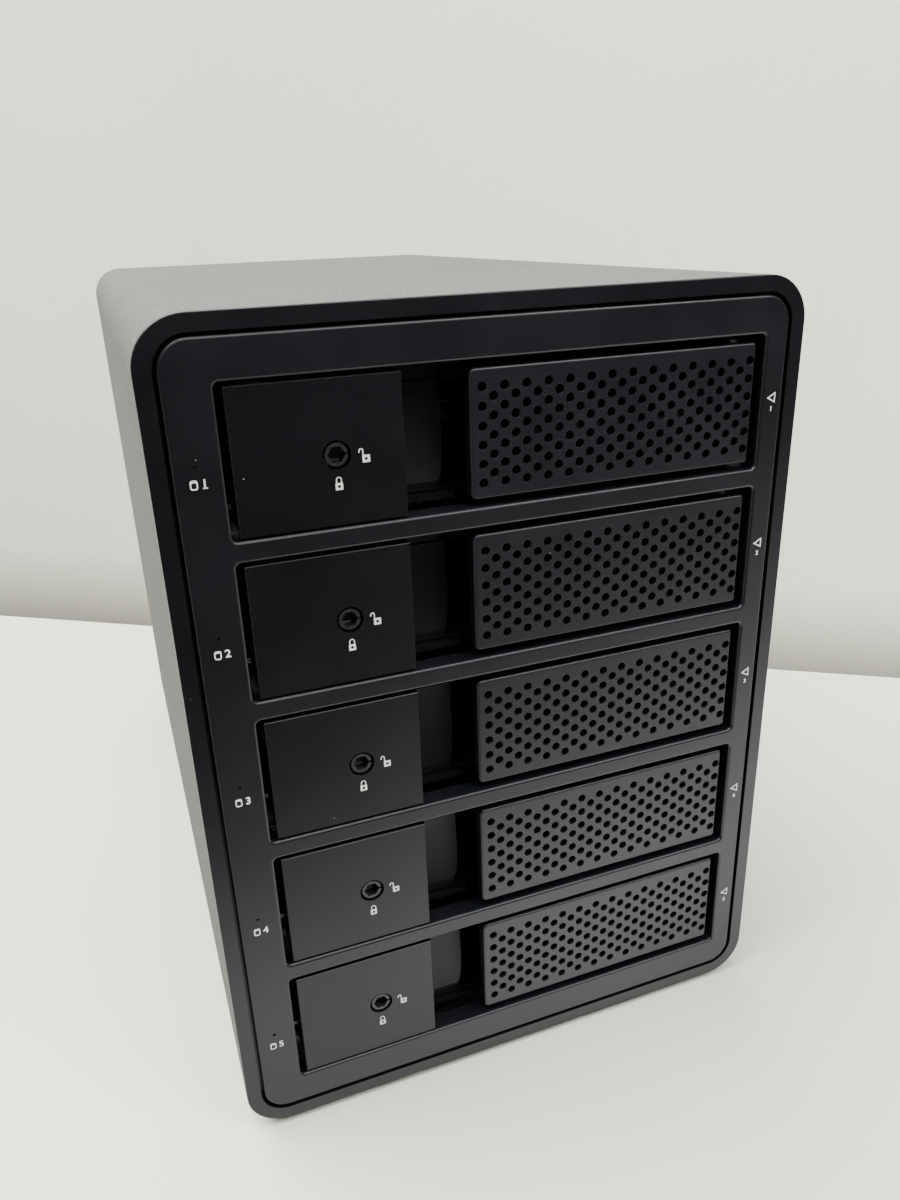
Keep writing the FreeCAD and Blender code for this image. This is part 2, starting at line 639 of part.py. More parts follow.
def rear_panel():
    """The rear plate with openings for the fan, the inlet, the switch and the ports."""
    gap = SLEEVE_T + 0.2
    panel = rounded_block(-HALF_W + gap, HALF_W - gap, gap, CASE_HEIGHT - gap,
                          PANEL_IN_Y, PANEL_OUT_Y, CORNER_R - gap)
    y0 = PANEL_IN_Y - 1
    y1 = PANEL_OUT_Y + 1
    cuts = [rod_y(FAN_BORE_R, FAN_X, FAN_DEPTH, y0, y1)]
    for x, depth in fan_screw_places():
        cuts.append(rod_y(2.3, x, depth, y0, y1))
    for x, depth in screw_places():
        cuts.append(rod_y(SCREW_R + 0.15, x, depth, y0, y1))
    cuts.append(rounded_block(INLET_X - 13.7, INLET_X + 13.7, INLET_DEPTH - 10.1, INLET_DEPTH + 10.1,
                              y0, y1, 2.5))
    for side in (-1, 1):
        cuts.append(rod_y(SCREW_R + 0.15, INLET_X + side * 20, INLET_DEPTH, y0, y1))
    cuts.append(box(SWITCH_X - 6.6, SWITCH_X + 6.6, y0, y1, SWITCH_DEPTH - 9.8, SWITCH_DEPTH + 9.8))
    cuts.append(box(LAN_X - 8.2, LAN_X + 8.2, y0, y1, MAIN_BOARD_DEPTH - 13.7, MAIN_BOARD_DEPTH + 0.2))
    for x in USB_A_XS:
        cuts.append(box(x - 7.1, x + 7.1, y0, y1, MAIN_BOARD_DEPTH - 7.2, MAIN_BOARD_DEPTH + 0.2))
    cuts.append(rounded_block(USB_C_X - 4.7, USB_C_X + 4.7, MAIN_BOARD_DEPTH - 3.5, MAIN_BOARD_DEPTH + 0.2,
                              y0, y1, 1.5))
    cuts.append(rounded_block(LOCK_SLOT_X - 3.5, LOCK_SLOT_X + 3.5, LOCK_SLOT_DEPTH - 1.5,
                              LOCK_SLOT_DEPTH + 1.5, y0, y1, 1.2))
    for column in range(8):
        x = -58 + column * 5
        cuts.append(rounded_block(x, x + 2.5, 126, 152, y0, y1, 1.2))
    return panel.cut(Part.makeCompound(cuts))


def fan_frame():
    """The square fan housing with a round duct, four rear struts and a motor seat."""
    y0 = PANEL_IN_Y - FAN_T
    half = FAN_SIZE / 2
    frame = rounded_block(FAN_X - half, FAN_X + half, FAN_DEPTH - half, FAN_DEPTH + half,
                          y0, PANEL_IN_Y, 4.0)
    frame = frame.cut(rod_y(FAN_BORE_R, FAN_X, FAN_DEPTH, y0 - 1, PANEL_IN_Y + 1))
    waist = rounded_block(FAN_X - half - 1, FAN_X + half + 1, FAN_DEPTH - half - 1, FAN_DEPTH + half + 1,
                          y0 + 4, PANEL_IN_Y - 4, 0.5)
    waist = waist.cut(rod_y(FAN_BORE_R + 1.6, FAN_X, FAN_DEPTH, y0, PANEL_IN_Y))
    frame = frame.cut(waist)
    pieces = [frame]
    for turn in range(4):
        strut = box(FAN_X + 15, FAN_X + FAN_BORE_R + 0.8, y0, y0 + 2.5, FAN_DEPTH - 1.6, FAN_DEPTH + 1.6)
        strut.rotate(FreeCAD.Vector(FAN_X, 0, level(FAN_DEPTH)), FreeCAD.Vector(0, 1, 0), 45 + 90 * turn)
        pieces.append(strut)
    pieces.append(rod_y(18.0, FAN_X, FAN_DEPTH, y0, y0 + 2.5))
    pieces.append(rod_y(1.5, FAN_X, FAN_DEPTH, y0 + 2, y0 + 17))
    frame = joined(pieces)
    holes = []
    for x, depth in fan_screw_places():
        holes.append(rod_y(2.15, x, depth, y0 - 1, PANEL_IN_Y + 1))
    return frame.cut(Part.makeCompound(holes))


def fan_rotor():
    """The impeller: a cup-shaped hub with seven twisted blades."""
    y0 = PANEL_IN_Y - FAN_T
    hub = rod_y(19.0, FAN_X, FAN_DEPTH, y0 + 3.2, y0 + 21)
    pieces = [hub]
    root_r = 18.0
    tip_r = 42.0
    for blade in range(7):
        turn = math.radians(360 / 7 * blade)
        wires = []
        for radius, pitch, half_chord in ((root_r, 38.0, 8.5), (30.0, 32.0, 11.5), (tip_r, 26.0, 14.0)):
            lean = math.radians(pitch)
            tangent = FreeCAD.Vector(-math.sin(turn), 0, math.cos(turn))
            radial = FreeCAD.Vector(math.cos(turn), 0, math.sin(turn))
            along = tangent * math.cos(lean) + FreeCAD.Vector(0, 1, 0) * math.sin(lean)
            across = FreeCAD.Vector(0, 1, 0) * math.cos(lean) - tangent * math.sin(lean)
            middle = FreeCAD.Vector(FAN_X, y0 + 12, level(FAN_DEPTH)) + radial * radius
            corners = []
            for u, v in ((-1, -1), (1, -1), (1, 1), (-1, 1)):
                corners.append(middle + along * (u * half_chord) + across * (v * 0.7))
            corners.append(corners[0])
            wires.append(Part.makePolygon(corners))
        pieces.append(Part.makeLoft(wires, True, True))
    rotor = joined(pieces)
    sweep = rod_y(tip_r, FAN_X, FAN_DEPTH, y0 + 3.0, y0 + 21.5)
    rotor = rotor.common(sweep)
    cup = rod_y(16.5, FAN_X, FAN_DEPTH, y0 + 3.0, y0 + 18.5)
    post = rod_y(4.0, FAN_X, FAN_DEPTH, y0 + 3.4, y0 + 19)
    bore = rod_y(1.55, FAN_X, FAN_DEPTH, y0 + 3, y0 + 17.5)
    return rotor.cut(cup).fuse(post).cut(bore)


def fan_guard():
    """The wire finger guard outside the fan: rings, four spokes and four screw eyes."""
    ring_wire = 0.8
    spoke_wire = 0.75
    first_ring = 7.5
    ring_step = 8.9
    y = PANEL_OUT_Y + 2.3
    hub = FreeCAD.Vector(FAN_X, y, level(FAN_DEPTH))
    along_y = FreeCAD.Vector(0, 1, 0)
    pieces = []
    for ring in range(5):
        pieces.append(Part.makeTorus(first_ring + ring * ring_step, ring_wire, hub, along_y))
    reach = math.hypot(FAN_SCREW, FAN_SCREW)
    eye_x = FAN_X + reach
    for turn in range(4):
        start = FreeCAD.Vector(FAN_X + first_ring - 0.2, y - 0.7, level(FAN_DEPTH))
        spoke = Part.makeCylinder(spoke_wire, reach - first_ring, start, FreeCAD.Vector(1, 0, 0))
        spoke = spoke.cut(rod_y(3.7, eye_x, FAN_DEPTH, PANEL_OUT_Y - 1, REAR + 2))
        eye = rod_y(4.0, eye_x, FAN_DEPTH, PANEL_OUT_Y, PANEL_OUT_Y + 1.6)
        eye = eye.cut(rod_y(2.2, eye_x, FAN_DEPTH, PANEL_OUT_Y - 1, REAR))
        arm = spoke.fuse(eye)
        arm.rotate(hub, along_y, 45 + 90 * turn)
        pieces.append(arm)
    return pieces[0].fuse(pieces[1:])


def pan_screw(x, depth, seat_y, head_r, head_h, shank_r, length):
    """A cross-head screw driven along -Y, its head resting on the plane seat_y."""
    head = rod_y(head_r, x, depth, seat_y, seat_y + head_h)
    rim = [edge for edge in edges_in_plane_y(head, seat_y + head_h)]
    head = head.makeFillet(head_h * 0.45, rim)
    screw = head.fuse(rod_y(shank_r, x, depth, seat_y - length, seat_y))
    arm = head_r * 0.55
    cross = joined([
        box(x - arm, x + arm, seat_y + head_h * 0.4, seat_y + head_h + 1, depth - 0.35, depth + 0.35),
        box(x - 0.35, x + 0.35, seat_y + head_h * 0.4, seat_y + head_h + 1, depth - arm, depth + arm),
    ])
    return screw.cut(cross)


def power_inlet():
    """The three-pin mains inlet, fixed by two screws."""
    flange = rounded_block(INLET_X - 25, INLET_X + 25, INLET_DEPTH - 11.3, INLET_DEPTH + 11.3,
                           PANEL_OUT_Y, PANEL_OUT_Y + 2.4, 4.0)
    body = rounded_block(INLET_X - 13.5, INLET_X + 13.5, INLET_DEPTH - 9.9, INLET_DEPTH + 9.9,
                         PANEL_OUT_Y - 15, PANEL_OUT_Y + 1, 2.3)
    inlet = joined([flange, body])
    cavity = rounded_block(INLET_X - 12.0, INLET_X + 12.0, INLET_DEPTH - 8.2, INLET_DEPTH + 8.2,
                           PANEL_OUT_Y - 12.5, PANEL_OUT_Y + 4, (4.5, 4.5, 1.5, 1.5))
    inlet = inlet.cut(cavity)
    for side in (-1, 1):
        inlet = inlet.cut(rod_y(SCREW_R + 0.15, INLET_X + side * 20, INLET_DEPTH, PANEL_OUT_Y - 1, REAR))
    pins = []
    for across, down in ((-7, 1.5), (0, -2.5), (7, 1.5)):
        x = INLET_X + across
        depth = INLET_DEPTH + down
        pins.append(box(x - 1.0, x + 1.0, PANEL_OUT_Y - 13, PANEL_OUT_Y + 0.4, depth - 2, depth + 2))
    return joined([inlet] + pins)


def inlet_wires():
    """Three short insulated wires from the inlet to the power supply."""
    wires = []
    for across in (-7, 0, 7):
        wires.append(rod_y(1.3, INLET_X + across, INLET_DEPTH, SUPPLY_REAR, PANEL_OUT_Y - 15))
    return wires


SWITCH_PIVOT_Y = PANEL_OUT_Y - 3.5
SWITCH_LEAN = 9.0         # degrees that the rocker leans either way from level


def switch_housing():
    """The snap-in frame of the power switch, with the axle across it."""
    frame = rounded_block(SWITCH_X - 8, SWITCH_X + 8, SWITCH_DEPTH - 11, SWITCH_DEPTH + 11,
                          PANEL_OUT_Y, PANEL_OUT_Y + 1.6, 1.0)
    body = box(SWITCH_X - 6.4, SWITCH_X + 6.4, PANEL_OUT_Y - 14, PANEL_OUT_Y,
               SWITCH_DEPTH - 9.6, SWITCH_DEPTH + 9.6)
    hollow = box(SWITCH_X - 5.2, SWITCH_X + 5.2, PANEL_OUT_Y - 12.5, PANEL_OUT_Y + 3,
                 SWITCH_DEPTH - 8.4, SWITCH_DEPTH + 8.4)
    start = FreeCAD.Vector(SWITCH_X - 5.8, SWITCH_PIVOT_Y, level(SWITCH_DEPTH))
    axle = Part.makeCylinder(1.0, 11.6, start, FreeCAD.Vector(1, 0, 0))
    return joined([frame, body]).cut(hollow).fuse(axle)


def power_rocker():
    """The rocker, leaning to its off side."""
    half = 7.0
    z = level(SWITCH_DEPTH)
    crown = PANEL_OUT_Y + 1.8
    outline = [
        (PANEL_OUT_Y - 7.0, z - 2.0),
        (PANEL_OUT_Y - 7.0, z + 2.0),
        (PANEL_OUT_Y - 2.0, z + half),
        (crown, z + half),
        (crown - 1.0, z),
        (crown, z - half),
        (PANEL_OUT_Y - 2.0, z - half),
        (PANEL_OUT_Y - 7.0, z - 2.0),
    ]
    points = [FreeCAD.Vector(SWITCH_X - 5.0, y, height) for y, height in outline]
    rocker = Part.Face(Part.makePolygon(points)).extrude(FreeCAD.Vector(10.0, 0, 0))
    start = FreeCAD.Vector(SWITCH_X - 15, SWITCH_PIVOT_Y, z)
    rocker = rocker.cut(Part.makeCylinder(1.05, 30, start, FreeCAD.Vector(1, 0, 0)))
    rocker.rotate(FreeCAD.Vector(SWITCH_X, SWITCH_PIVOT_Y, z), FreeCAD.Vector(1, 0, 0), -SWITCH_LEAN)
    return rocker


def ethernet_port():
    """The network socket, a shielded block with an open front."""
    body = box(LAN_X - 8, LAN_X + 8, PORT_FRONT_Y - 21, PORT_FRONT_Y, MAIN_BOARD_DEPTH - 13.5, MAIN_BOARD_DEPTH)
    mouth = box(LAN_X - 5.9, LAN_X + 5.9, PORT_FRONT_Y - 13, PORT_FRONT_Y + 1,
                MAIN_BOARD_DEPTH - 10.5, MAIN_BOARD_DEPTH - 2.6)
    tab = box(LAN_X - 3, LAN_X + 3, PORT_FRONT_Y - 13, PORT_FRONT_Y + 1,
              MAIN_BOARD_DEPTH - 12.2, MAIN_BOARD_DEPTH - 10.4)
    return body.cut(joined([mouth, tab]))


def usb_ports():
    """Two wide and one small data sockets."""
    ports = []
    for x in USB_A_XS:
        body = box(x - 6.9, x + 6.9, PORT_FRONT_Y - 14, PORT_FRONT_Y, MAIN_BOARD_DEPTH - 7, MAIN_BOARD_DEPTH)
        mouth = box(x - 6.2, x + 6.2, PORT_FRONT_Y - 12, PORT_FRONT_Y + 1,
                    MAIN_BOARD_DEPTH - 6.1, MAIN_BOARD_DEPTH - 1.0)
        tongue = box(x - 5.6, x + 5.6, PORT_FRONT_Y - 12, PORT_FRONT_Y - 0.8,
                     MAIN_BOARD_DEPTH - 5.6, MAIN_BOARD_DEPTH - 3.8)
        ports.append(body.cut(mouth.cut(tongue)))
    shell = rounded_block(USB_C_X - 4.5, USB_C_X + 4.5, MAIN_BOARD_DEPTH - 3.3, MAIN_BOARD_DEPTH,
                          PORT_FRONT_Y - 8, PORT_FRONT_Y, 1.4)
    mouth = rounded_block(USB_C_X - 4.1, USB_C_X + 4.1, MAIN_BOARD_DEPTH - 2.9, MAIN_BOARD_DEPTH - 0.4,
                          PORT_FRONT_Y - 6, PORT_FRONT_Y + 1, 1.1)
    tongue = box(USB_C_X - 3.3, USB_C_X + 3.3, PORT_FRONT_Y - 7, PORT_FRONT_Y - 0.9,
                 MAIN_BOARD_DEPTH - 2.0, MAIN_BOARD_DEPTH - 1.3)
    ports.append(shell.cut(mouth.cut(tongue)))
    return ports


def rubber_feet():
    """Four round pads under the corners."""
    feet = []
    for x in (-54.0, 54.0):
        for y in (-104.0, 104.0):
            pad = rod_z(7.0, x, y, CASE_HEIGHT, CASE_HEIGHT + FOOT_HEIGHT)
            bottom = [edge for edge in pad.Edges
                      if edge.BoundBox.ZMax < 1e-4]
            feet.append(pad.makeFillet(0.5, bottom))
    return feet


def main():
    os.makedirs("parts", exist_ok=True)
    save("outer_sleeve", outer_sleeve())
    save("front_rim", front_rim())
    save("front_fascia", front_fascia())
    save("light_pipe_strip", light_pipe_strip())
    save("led_board", led_board())
    save("chassis_left_plate", chassis_side(-1))
    save("chassis_right_plate", chassis_side(1))
    save("chassis_top_plate", chassis_cover(CHASSIS_TOP - SHEET_T, CHASSIS_TOP))
    save("chassis_bottom_plate", chassis_cover(CHASSIS_BOTTOM, CHASSIS_BOTTOM + SHEET_T))
    tray_pieces = {
        "carrier": tray_carrier(),
        "face": tray_face(),
        "handle": tray_handle(),
        "hinge_pin": tray_hinge_pin(),
        "lock": tray_lock(),
        "lock_cam": tray_lock_cam(),
    }
    for index in range(BAY_COUNT):
        for name, shape in tray_pieces.items():
            placed = shape.copy()
            placed.translate(FreeCAD.Vector(0, 0, -bay_top(index)))
            save("tray_%d_%s" % (index + 1, name), placed)
    save("backplane_board", backplane_board())
    save("drive_connectors", drive_connectors())
    save("main_board", main_board())
    save("board_link", board_link())
    save("heat_sink", heat_sink())
    save("power_supply", power_supply())
    save("rear_panel", rear_panel())
    panel_screws = [pan_screw(x, depth, PANEL_OUT_Y, 2.6, 1.8, SCREW_R, 6) for x, depth in screw_places()]
    save("rear_panel_screws", panel_screws)
    save("fan_frame", fan_frame())
    save("fan_rotor", fan_rotor())
    save("fan_guard", fan_guard())
    fan_screws = [pan_screw(x, depth, PANEL_OUT_Y + 1.6, 3.4, 2.0, 2.1, 8) for x, depth in fan_screw_places()]
    save("fan_screws", fan_screws)
    save("power_inlet", power_inlet())
    save("inlet_wires", inlet_wires())
    inlet_screws = []
    for side in (-1, 1):
        inlet_screws.append(pan_screw(INLET_X + side * 20, INLET_DEPTH, PANEL_OUT_Y + 2.4, 2.6, 1.5, SCREW_R, 7))
    save("inlet_screws", inlet_screws)
    save("switch_housing", switch_housing())
    save("power_rocker", power_rocker())
    save("ethernet_port", ethernet_port())
    save("usb_ports", usb_ports())
    save("rubber_feet", rubber_feet())


main()
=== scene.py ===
import json
import math

import bpy
from mathutils import Matrix, Vector


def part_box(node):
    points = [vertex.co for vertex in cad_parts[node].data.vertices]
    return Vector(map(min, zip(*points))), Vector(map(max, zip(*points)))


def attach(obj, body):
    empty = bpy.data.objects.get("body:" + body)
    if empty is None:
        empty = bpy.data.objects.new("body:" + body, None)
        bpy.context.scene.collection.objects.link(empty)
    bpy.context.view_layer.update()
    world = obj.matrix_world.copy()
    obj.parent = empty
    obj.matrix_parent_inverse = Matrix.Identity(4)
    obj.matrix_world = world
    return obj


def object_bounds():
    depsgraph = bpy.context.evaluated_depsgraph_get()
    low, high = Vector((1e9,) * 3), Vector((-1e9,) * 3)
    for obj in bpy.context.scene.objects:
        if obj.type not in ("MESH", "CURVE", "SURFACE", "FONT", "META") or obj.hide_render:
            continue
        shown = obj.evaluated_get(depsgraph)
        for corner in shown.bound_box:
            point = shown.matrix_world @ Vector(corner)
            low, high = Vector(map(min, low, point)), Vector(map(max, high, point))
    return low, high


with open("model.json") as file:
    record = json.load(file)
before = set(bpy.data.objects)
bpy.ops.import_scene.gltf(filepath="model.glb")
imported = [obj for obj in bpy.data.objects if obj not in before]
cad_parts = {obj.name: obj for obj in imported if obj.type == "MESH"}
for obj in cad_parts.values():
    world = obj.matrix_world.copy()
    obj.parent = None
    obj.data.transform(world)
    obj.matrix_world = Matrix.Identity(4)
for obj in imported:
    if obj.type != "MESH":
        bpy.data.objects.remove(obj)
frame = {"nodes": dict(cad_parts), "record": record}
cad_low, cad_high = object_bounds()

MM = 0.001
TRAYS = range(1, 6)
OPAQUE = 1.0              # the fourth number of a colour


# --- materials ------------------------------------------------------------------------------
SHADER_INPUTS = {
    "color": "Base Color", "metal": "Metallic", "rough": "Roughness", "normal": "Normal",
    "specular": "Specular IOR Level", "ior": "IOR", "coat": "Coat Weight",
    "coat_rough": "Coat Roughness", "through": "Transmission Weight", "tint": "Specular Tint",
}


class Maker:
    """Builds the node tree of one material. Lengths are metres in the object's own space."""

    def __init__(self, name):
        self.material = bpy.data.materials.new(name)
        self.material.use_nodes = True
        self.tree = self.material.node_tree
        self.shader = self.tree.nodes["Principled BSDF"]
        self.place = self.tree.nodes.new("ShaderNodeTexCoord").outputs["Object"]

    def link(self, value, socket):
        if isinstance(value, bpy.types.NodeSocket):
            self.tree.links.new(value, socket)
        elif isinstance(value, tuple) and len(value) == 3 and len(socket.default_value) == 4:
            socket.default_value = (*value, OPAQUE)
        else:
            socket.default_value = value

    def new(self, kind, **settings):
        node = self.tree.nodes.new("ShaderNode" + kind)
        for key, value in settings.items():
            setattr(node, key, value)
        return node

    def noise(self, size, detail=2.0, roughness=0.5, place=None):
        """Soft noise from 0 to 1 with features of about this size, over place or the object."""
        node = self.new("TexNoise")
        self.link(place or self.place, node.inputs["Vector"])
        node.inputs["Scale"].default_value = 1.0 / size
        node.inputs["Detail"].default_value = detail
        node.inputs["Roughness"].default_value = roughness
        return node.outputs[0]

    def cells(self, size):
        """The Voronoi node with cells of about this size."""
        node = self.new("TexVoronoi")
        self.link(self.place, node.inputs["Vector"])
        node.inputs["Scale"].default_value = 1.0 / size
        return node

    def math(self, operation, first, second=None):
        node = self.new("Math", operation=operation)
        self.link(first, node.inputs[0])
        if second is not None:
            self.link(second, node.inputs[1])
        return node.outputs[0]

    def spread(self, value, low, high, out_low=0.0, out_high=1.0):
        """Maps low..high to out_low..out_high, held at the ends."""
        node = self.new("MapRange")
        self.link(value, node.inputs["Value"])
        limits = {"From Min": low, "From Max": high, "To Min": out_low, "To Max": out_high}
        for key, number in limits.items():
            node.inputs[key].default_value = number
        return node.outputs[0]

    def mix(self, factor, first, second):
        """The first colour at factor 0, the second at factor 1."""
        node = self.new("Mix", data_type="RGBA")
        self.link(factor, node.inputs[0])
        self.link(first, node.inputs[6])
        self.link(second, node.inputs[7])
        return node.outputs[2]

    def bump(self, height, distance, strength=1.0, under=None):
        """Turns a 0 to 1 height, distance metres tall, into a normal."""
        node = self.new("Bump")
        node.inputs["Strength"].default_value = strength
        node.inputs["Distance"].default_value = distance
        self.link(height, node.inputs["Height"])
        if under is not None:
            self.link(under, node.inputs["Normal"])
        return node.outputs[0]

    def axes(self):
        node = self.new("SeparateXYZ")
        self.link(self.place, node.inputs[0])
        return node.outputs

    def set(self, **inputs):
        """Sets or links the shader's sockets and returns the finished material."""
        for key, value in inputs.items():
            self.link(value, self.shader.inputs[SHADER_INPUTS[key]])
        return self.material


def grey(value, warm=0.0):
    """A grey, with its red raised and its blue lowered by the share warm."""
    return (value * (1 + warm), value, value * (1 - warm))


def cool(value):
    """A black with a faint blue cast, which is a painted bluish ambient light."""
    return (value * 0.8, value * 1.0, value * 1.7)


DUST_SPACING = 0.0065
DUST_RADIUS = 0.016       # as a share of the spacing
DUST_TONE = 0.38


def dust(make, share):
    """A mask of tiny specks; share of the cells have one."""
    spots = make.cells(DUST_SPACING)
    near = make.math("LESS_THAN", spots.outputs["Distance"], DUST_RADIUS)
    pick = make.new("SeparateColor")
    make.link(spots.outputs["Color"], pick.inputs[0])
    kept = make.math("LESS_THAN", pick.outputs[0], share)
    return make.math("MULTIPLY", near, kept)


def satin_black(name, base, rough, grain, grain_height, specular=0.5, specks=0.5, edge=None):
    """Smooth black plastic or paint with a fine skin, faint smears and a few specks of dust.
    edge is how far the paint rounds over a sharp edge, such as the rim of a hole."""
    make = Maker(name)
    skin = make.noise(grain, 2.0, 0.6)
    smear = make.noise(0.018, 3.0, 0.55)
    # the tones come from cool, so they carry its painted bluish ambient cast
    shade = make.mix(make.spread(smear, 0.35, 0.7), cool(base * 0.85), cool(base * 1.2))
    shade = make.mix(make.spread(skin, 0.3, 0.75), shade, cool(base * 1.35))
    color = make.mix(dust(make, specks), shade, grey(DUST_TONE))
    roughness = make.spread(smear, 0.3, 0.75, rough - 0.035, rough + 0.035)
    rounded_edge = None
    if edge:
        corner = make.new("Bevel", samples=4)
        corner.inputs["Radius"].default_value = edge
        rounded_edge = corner.outputs[0]
    normal = make.bump(skin, grain_height, under=rounded_edge)
    return make.set(color=color, rough=roughness, normal=normal, specular=specular)


def silver_aluminium():
    """Bead-blasted and clear anodised aluminium: a fine matt grit with bright and dark points."""
    make = Maker("silver_aluminium")
    grit = make.noise(0.00040, 2.0, 0.6)
    blotch = make.noise(0.0010, 2.0, 0.6)
    patch = make.noise(0.035, 2.0, 0.5)
    tone = make.mix(make.spread(grit, 0.38, 0.62), (0.125, 0.124, 0.117), (0.19, 0.188, 0.178))
    tone = make.mix(make.spread(blotch, 0.56, 0.66, 0.0, 0.6), tone, (0.29, 0.286, 0.268))
    tone = make.mix(make.spread(patch, 0.35, 0.7, 0.0, 0.18), tone, (0.12, 0.119, 0.113))
    rough = make.spread(blotch, 0.3, 0.7, 0.68, 0.78)
    normal = make.bump(grit, 0.00004, 0.7)
    return make.set(color=tone, metal=0.25, rough=rough, normal=normal, specular=0.0,
                    tint=(0.05, 0.05, 0.05))


def sheet_metal(name, light, dark, rough):
    """Galvanised sheet: flat crystals of slightly different brightness."""
    make = Maker(name)
    crystals = make.cells(0.006)
    pick = make.new("SeparateColor")
    make.link(crystals.outputs["Color"], pick.inputs[0])
    stain = make.noise(0.02, 3.0)
    tone = make.mix(pick.outputs[0], grey(dark), grey(light))
    tone = make.mix(make.spread(stain, 0.45, 0.75, 0.0, 0.3), tone, grey(dark * 0.8))
    roughness = make.spread(pick.outputs[1], 0.0, 1.0, rough - 0.06, rough + 0.08)
    normal = make.bump(make.noise(0.0015, 3.0), 0.00002)
    return make.set(color=tone, metal=1.0, rough=roughness, normal=normal)


LINE_SQUEEZE = 14.0       # how many times finer the lines are along the chosen axis


def turned_metal(name, light, rough, axis=2):
    """Metal with fine rings or draw lines across one axis."""
    make = Maker(name)
    stretch = make.new("Mapping")
    scale = [1.0, 1.0, 1.0]
    scale[axis] = LINE_SQUEEZE
    stretch.inputs["Scale"].default_value = scale
    make.link(make.place, stretch.inputs["Vector"])
    lines = make.noise(0.0016, 3.0, 0.6, stretch.outputs[0])
    tone = make.mix(make.spread(lines, 0.3, 0.7), grey(light * 0.72), grey(light))
    roughness = make.spread(lines, 0.3, 0.7, rough - 0.06, rough + 0.08)
    return make.set(color=tone, metal=1.0, rough=roughness, normal=make.bump(lines, 0.00001))


def moulded(name, base, rough, grain=0.0005, height=0.00003, warm=0.0):
    """Moulded plastic or rubber with a spark-eroded texture."""
    make = Maker(name)
    pits = make.noise(grain, 2.0, 0.65)
    wide = make.noise(0.012, 3.0)
    tone = make.mix(make.spread(pits, 0.3, 0.7), grey(base * 0.8, warm), grey(base * 1.25, warm))
    tone = make.mix(make.spread(wide, 0.4, 0.75, 0.0, 0.4), tone, grey(base * 1.5, warm))
    roughness = make.spread(wide, 0.3, 0.7, rough - 0.05, rough + 0.06)
    return make.set(color=tone, rough=roughness, normal=make.bump(pits, height))


def circuit_board():
    """Green solder mask over rows of copper tracks, with small plated vias."""
    make = Maker("circuit_board")
    tracks = make.new("TexBrick")
    tracks.offset = 0.5
    turn = make.new("Mapping")
    turn.inputs["Rotation"].default_value = (math.radians(90), 0.0, 0.0)
    make.link(make.place, turn.inputs["Vector"])
    make.link(turn.outputs[0], tracks.inputs["Vector"])
    for key, value in (("Scale", 1.0), ("Mortar Size", 0.00022), ("Mortar Smooth", 0.1),
                       ("Brick Width", 0.0085), ("Row Height", 0.0011)):
        tracks.inputs[key].default_value = value
    runs = tracks.outputs["Fac"]
    zones = make.spread(make.noise(0.009, 1.0), 0.48, 0.52)
    runs = make.math("MULTIPLY", runs, zones)
    vias = make.cells(0.0031)
    hole = make.math("LESS_THAN", vias.outputs["Distance"], 0.11)
    tone = make.mix(runs, (0.006, 0.050, 0.020), (0.014, 0.105, 0.040))
    tone = make.mix(hole, tone, (0.42, 0.36, 0.20))
    rough = make.spread(make.noise(0.004, 2.0), 0.3, 0.7, 0.24, 0.38)
    normal = make.bump(runs, 0.00004)
    return make.set(color=tone, rough=rough, normal=normal, coat=0.25, coat_rough=0.15)


def clear_plastic():
    """Smoked clear moulding of the indicator light pipes, unlit."""
    make = Maker("clear_plastic")
    haze = make.noise(0.002, 2.0)
    tone = make.mix(haze, (0.012, 0.013, 0.015), (0.030, 0.032, 0.035))
    rough = make.spread(haze, 0.3, 0.7, 0.10, 0.22)
    return make.set(color=tone, rough=rough, through=0.35, ior=1.49,
                    normal=make.bump(haze, 0.00001))


def marking_ink():
    """White printed marks with slightly uneven ink."""
    make = Maker("marking_ink")
    ink = make.noise(0.0004, 2.0)
    tone = make.mix(make.spread(ink, 0.3, 0.7), (0.56, 0.58, 0.58), (0.76, 0.78, 0.78))
    rough = make.spread(ink, 0.3, 0.7, 0.5, 0.65)
    return make.set(color=tone, rough=rough, normal=make.bump(ink, 0.000004))


